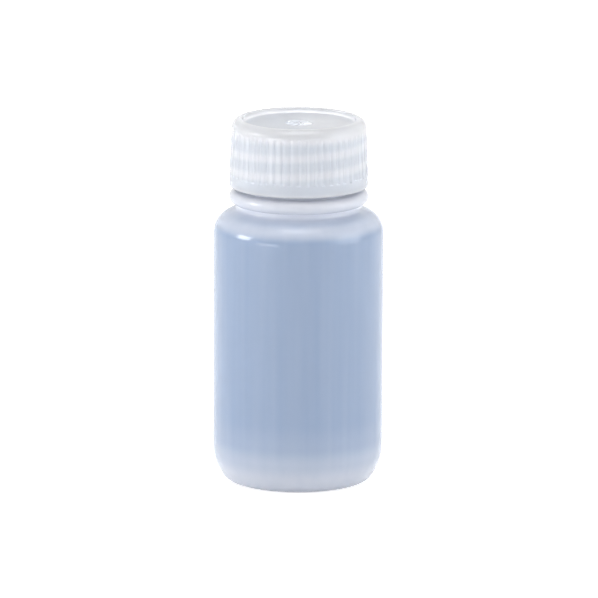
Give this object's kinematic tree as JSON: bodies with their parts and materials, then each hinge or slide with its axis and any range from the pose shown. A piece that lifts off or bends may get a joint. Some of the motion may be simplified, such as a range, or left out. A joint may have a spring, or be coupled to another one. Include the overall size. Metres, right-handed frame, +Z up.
{
  "type": "wide-mouth reagent bottle",
  "caption": "Small round wide-mouth laboratory bottle in natural translucent plastic, with a beaded neck and a ribbed screw cap.",
  "frame": {"origin": "on the bottle's axis, in the plane that its foot ring stands on", "axes": "+Z up along the bottle's axis, from the foot to the cap; -Y faces the camera"},
  "size_m": [0.039, 0.039, 0.0847],
  "materials": {
    "blown_polyethylene": "satin, milky and translucent",
    "moulded_polypropylene": "satin, milky white"
  },
  "bodies": {
    "container": {"bottle": "blown_polyethylene"},
    "closure": {"screw_cap": "moulded_polypropylene"}
  },
  "joints": [
    {"name": "cap_lift", "type": "slide", "parent": "container", "child": "closure", "axis": [0, 0, 1], "range_m": [0, 0.04]}
  ]
}
